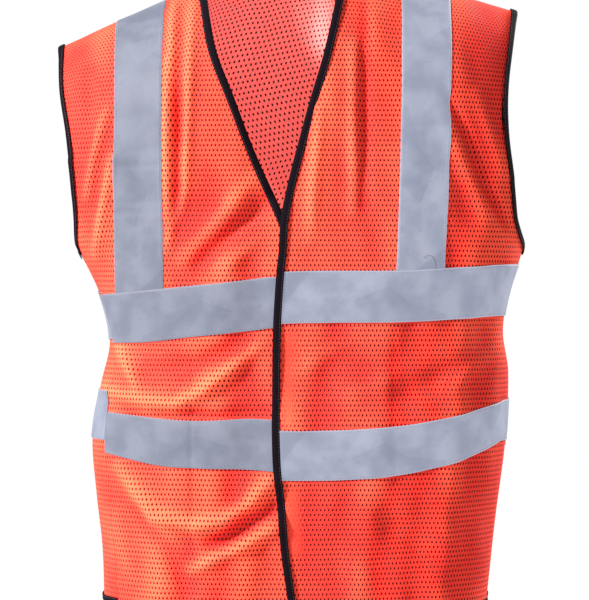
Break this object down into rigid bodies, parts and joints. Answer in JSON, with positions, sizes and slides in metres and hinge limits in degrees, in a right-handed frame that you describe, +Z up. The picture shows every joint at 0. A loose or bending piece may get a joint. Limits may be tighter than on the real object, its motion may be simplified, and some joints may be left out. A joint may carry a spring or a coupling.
{
  "type": "high visibility vest",
  "caption": "Sleeveless front-opening orange mesh safety vest with grey reflective tapes, dark edge binding and a hook and loop front.",
  "frame": {"origin": "on the wearer's shoulders, at the middle of the vest, on the level between its two shoulder seams", "axes": "+Z up, +Y towards the wearer's back, so the front opening faces -Y; +X towards the wearer's left"},
  "size_m": [0.4895, 0.2499, 0.6695],
  "materials": {
    "mesh_cloth": "fluorescent orange-red warp-knitted polyester mesh with small staggered holes",
    "reflective_tape": "silver-grey glass-bead retroreflective tape on woven backing, satin",
    "binding": "near-black ribbed polyester bias binding, matt",
    "hook_strip": "orange hook strip with fine stiff hooks",
    "loop_strip": "orange loop strip with a napped face",
    "label": "blank white satin care label"
  },
  "bodies": {
    "vest_body": {"back_panel": "mesh_cloth", "left_front_panel": "mesh_cloth", "right_front_panel": "mesh_cloth", "left_shoulder_tape_front": "reflective_tape", "left_shoulder_tape_back": "reflective_tape", "right_shoulder_tape_front": "reflective_tape", "right_shoulder_tape_back": "reflective_tape", "upper_tape_left_side": "reflective_tape", "upper_tape_right_side": "reflective_tape", "upper_tape_back": "reflective_tape", "lower_tape_left_side": "reflective_tape", "lower_tape_right_side": "reflective_tape", "lower_tape_back": "reflective_tape", "left_armhole_binding": "binding", "right_armhole_binding": "binding", "neck_binding": "binding", "hem_binding": "binding", "care_label": "label"},
    "left_flap": {"left_front_flap": "mesh_cloth", "left_flap_upper_tape": "reflective_tape", "left_flap_lower_tape": "reflective_tape", "left_edge_binding": "binding", "left_flap_hem_binding": "binding", "upper_hook_strip": "hook_strip", "lower_hook_strip": "hook_strip"},
    "right_flap": {"right_front_flap": "mesh_cloth", "right_flap_upper_tape": "reflective_tape", "right_flap_lower_tape": "reflective_tape", "right_edge_binding": "binding", "right_flap_hem_binding": "binding", "upper_loop_strip": "loop_strip", "lower_loop_strip": "loop_strip"}
  },
  "joints": [
    {"name": "left_front_fold", "type": "hinge", "parent": "vest_body", "child": "left_flap", "pos_m": [0.14, -0.1077, -0.655], "axis": [-0.175, -0.0501, 0.9833], "range_deg": [0, 140]},
    {"name": "right_front_fold", "type": "hinge", "parent": "vest_body", "child": "right_flap", "pos_m": [-0.1, -0.1127, -0.655], "axis": [0.1126, -0.0389, 0.9929], "range_deg": [-84, 0]}
  ],
  "couplings": [
    {"joint": "right_front_fold", "follows": "left_front_fold", "ratio": -0.6}
  ]
}
